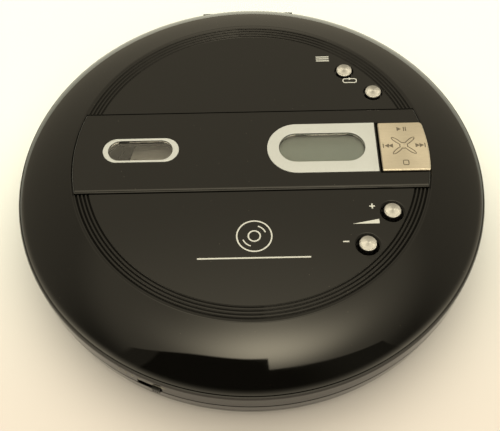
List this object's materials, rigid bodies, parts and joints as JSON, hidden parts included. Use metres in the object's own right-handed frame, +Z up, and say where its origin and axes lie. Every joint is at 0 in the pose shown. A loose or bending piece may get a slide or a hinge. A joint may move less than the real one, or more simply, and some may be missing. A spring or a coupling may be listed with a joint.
{
  "type": "portable cd player",
  "caption": "Round clamshell portable disc player with a hinged lid, spindle and pickup mechanism, display band, buttons and a four-way key.",
  "frame": {"origin": "centre of the case in plan, on the table under the rubber feet", "axes": "+Z up, +Y to the rear hinge of the lid, +X right as seen by the user"},
  "size_m": [0.145, 0.145, 0.028],
  "materials": {
    "gloss_black": "piano-gloss black, soft fingerprints and fine dust",
    "matte_black": "fine-grained black moulding",
    "silver_paint": "silver-painted plastic, satin",
    "spun_metal": "spun, bright edge",
    "brushed_metal": "fine brushed, warm",
    "steel": "bright stamped or turned steel",
    "clear_plastic": "clear acrylic window",
    "display_glass": "grey-green liquid crystal panel, blank",
    "rubber": "soft matte",
    "grey_plastic": "silver-grey moulding",
    "board_green": "solder-masked circuit board",
    "brass": "turned brass",
    "lens_glass": "coated lens, bluish"
  },
  "bodies": {
    "base": {"lower_case": "gloss_black", "rubber_foot_1": "rubber", "rubber_foot_2": "rubber", "rubber_foot_3": "rubber", "rubber_foot_4": "rubber", "case_screw_1": "steel", "case_screw_2": "steel", "case_screw_3": "steel", "case_screw_4": "steel", "main_board": "board_green", "cell_contact": "steel", "cell_spring_1": "steel", "cell_spring_2": "steel", "upper_case": "gloss_black", "headphone_jack": "matte_black", "dc_jack": "matte_black", "hinge_pin_1": "steel", "hinge_pin_2": "steel", "mechanism_chassis": "steel", "damper_1": "rubber", "damper_2": "rubber", "damper_3": "rubber", "spindle_motor": "steel", "guide_rod": "steel", "sled_motor": "steel"},
    "battery_door": {"battery_door": "matte_black"},
    "hold_switch": {"hold_switch": "matte_black"},
    "open_slider": {"open_slider": "gloss_black"},
    "lid_switch": {"lid_switch": "grey_plastic"},
    "spindle": {"turntable": "matte_black", "spindle_shaft": "steel"},
    "ball_1": {"catch_ball_1": "steel"},
    "ball_2": {"catch_ball_2": "steel"},
    "ball_3": {"catch_ball_3": "steel"},
    "lead_screw": {"lead_screw": "brass"},
    "motor_pinion": {"motor_pinion": "brass"},
    "pickup": {"pickup_sled": "matte_black"},
    "focus_lens": {"lens_holder": "grey_plastic", "objective_lens": "lens_glass"},
    "lid": {"lid_shell": "gloss_black", "lid_inner_plate": "grey_plastic", "lid_screw_1": "steel", "lid_screw_2": "steel", "lid_screw_3": "steel", "lid_catch": "matte_black", "lid_board": "board_green", "display_module": "display_glass", "band_panel": "gloss_black", "window_frame": "silver_paint", "window_lens": "clear_plastic", "display_frame": "silver_paint", "display_lens": "clear_plastic"},
    "key_pivot": {"key_pivot": "matte_black"},
    "key_plate": {"key_plate": "brushed_metal"},
    "program_button": {"program_button": "spun_metal"},
    "mode_button": {"mode_button": "spun_metal"},
    "volume_up_button": {"volume_up_button": "spun_metal"},
    "volume_down_button": {"volume_down_button": "spun_metal"}
  },
  "joints": [
    {"name": "lid_hinge", "type": "hinge", "parent": "base", "child": "lid", "pos_m": [0, 0.069, 0.0169], "axis": [-1, 0, 0], "range_deg": [0, 75]},
    {"name": "battery_door_hinge", "type": "hinge", "parent": "base", "child": "battery_door", "pos_m": [0, 0.0531, 0.0018], "axis": [1, 0, 0], "range_deg": [0, 100]},
    {"name": "open_slide", "type": "slide", "parent": "base", "child": "open_slider", "axis": [-0.9135, 0.4067, 0], "range_m": [0, 0.0035], "stiffness_N_per_m": 300},
    {"name": "hold_slide", "type": "slide", "parent": "base", "child": "hold_switch", "axis": [-0.4695, 0.8829, 0], "range_m": [0, 0.003]},
    {"name": "lid_switch_slide", "type": "slide", "parent": "base", "child": "lid_switch", "axis": [0, 0, 1], "range_m": [0, 0.001]},
    {"name": "spindle_spin", "type": "hinge", "parent": "base", "child": "spindle", "pos_m": [0, 0, 0.015], "axis": [0, 0, 1], "continuous": true},
    {"name": "ball_1_slide", "type": "slide", "parent": "spindle", "child": "ball_1", "axis": [-1, 0, 0], "range_m": [0, 0.0005], "stiffness_N_per_m": 100},
    {"name": "ball_2_slide", "type": "slide", "parent": "spindle", "child": "ball_2", "axis": [0.5, -0.866, 0], "range_m": [0, 0.0005], "stiffness_N_per_m": 100},
    {"name": "ball_3_slide", "type": "slide", "parent": "spindle", "child": "ball_3", "axis": [0.5, 0.866, 0], "range_m": [0, 0.0005], "stiffness_N_per_m": 100},
    {"name": "pickup_slide", "type": "slide", "parent": "base", "child": "pickup", "axis": [0, -1, 0], "range_m": [0, 0.032]},
    {"name": "lead_screw_spin", "type": "hinge", "parent": "base", "child": "lead_screw", "pos_m": [0.012, -0.03, 0.0102], "axis": [0, 1, 0], "range_deg": [0, 5760]},
    {"name": "motor_pinion_spin", "type": "hinge", "parent": "base", "child": "motor_pinion", "pos_m": [0.0165, -0.011, 0.0102], "axis": [0, 1, 0], "range_deg": [-9000, 0]},
    {"name": "focus_slide", "type": "slide", "parent": "pickup", "child": "focus_lens", "axis": [0, 0, 1], "range_m": [-0.0004, 0.0004], "stiffness_N_per_m": 40},
    {"name": "program_button_press", "type": "slide", "parent": "lid", "child": "program_button", "axis": [0, 0, -1], "range_m": [0, 0.0006], "stiffness_N_per_m": 800},
    {"name": "mode_button_press", "type": "slide", "parent": "lid", "child": "mode_button", "axis": [0, 0, -1], "range_m": [0, 0.0006], "stiffness_N_per_m": 800},
    {"name": "volume_up_button_press", "type": "slide", "parent": "lid", "child": "volume_up_button", "axis": [0, 0, -1], "range_m": [0, 0.0006], "stiffness_N_per_m": 800},
    {"name": "volume_down_button_press", "type": "slide", "parent": "lid", "child": "volume_down_button", "axis": [0, 0, -1], "range_m": [0, 0.0006], "stiffness_N_per_m": 800},
    {"name": "key_rock_across", "type": "hinge", "parent": "lid", "child": "key_pivot", "pos_m": [0.0464, 0.002, 0.0262], "axis": [0, 1, 0], "range_deg": [-2, 2], "stiffness_Nm_per_rad": 0.5},
    {"name": "key_rock_along", "type": "hinge", "parent": "key_pivot", "child": "key_plate", "pos_m": [0.0464, 0.002, 0.0262], "axis": [1, 0, 0], "range_deg": [-2, 2], "stiffness_Nm_per_rad": 0.5}
  ],
  "couplings": [
    {"joint": "lead_screw_spin", "follows": "pickup_slide", "rad_per_m": 3141.6},
    {"joint": "motor_pinion_spin", "follows": "pickup_slide", "rad_per_m": -4908.7},
    {"joint": "lid_switch_slide", "follows": "lid_hinge", "m_per_rad": 0.0007639}
  ]
}
